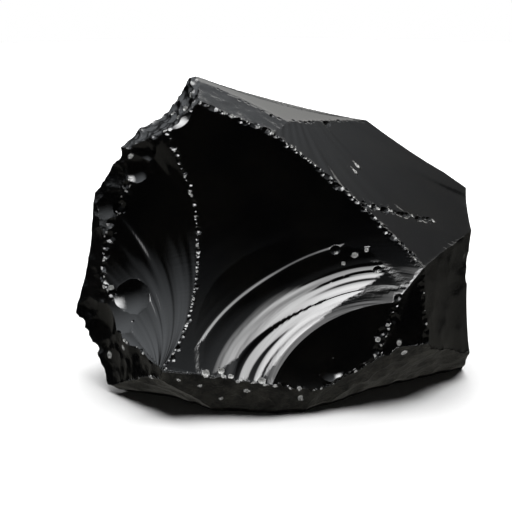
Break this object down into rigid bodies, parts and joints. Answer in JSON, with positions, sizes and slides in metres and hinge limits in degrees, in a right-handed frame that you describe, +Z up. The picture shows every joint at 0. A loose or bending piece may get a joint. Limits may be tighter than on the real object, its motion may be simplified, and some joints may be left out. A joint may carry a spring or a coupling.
{
  "type": "obsidian chunk",
  "caption": "Hand-sized chunk of black volcanic glass with shell-shaped fracture faces, sharp chipped ridges and a flat face to rest on.",
  "frame": {"origin": "middle of the bounding box, on the flat face that the stone rests on", "axes": "+Z up, -Y towards the great bowl-shaped face, +X along the longest side"},
  "size_m": [0.1153, 0.0845, 0.0841],
  "materials": {
    "obsidian": "polished"
  },
  "bodies": {
    "root": {"obsidian_chunk": "obsidian"}
  },
  "joints": []
}
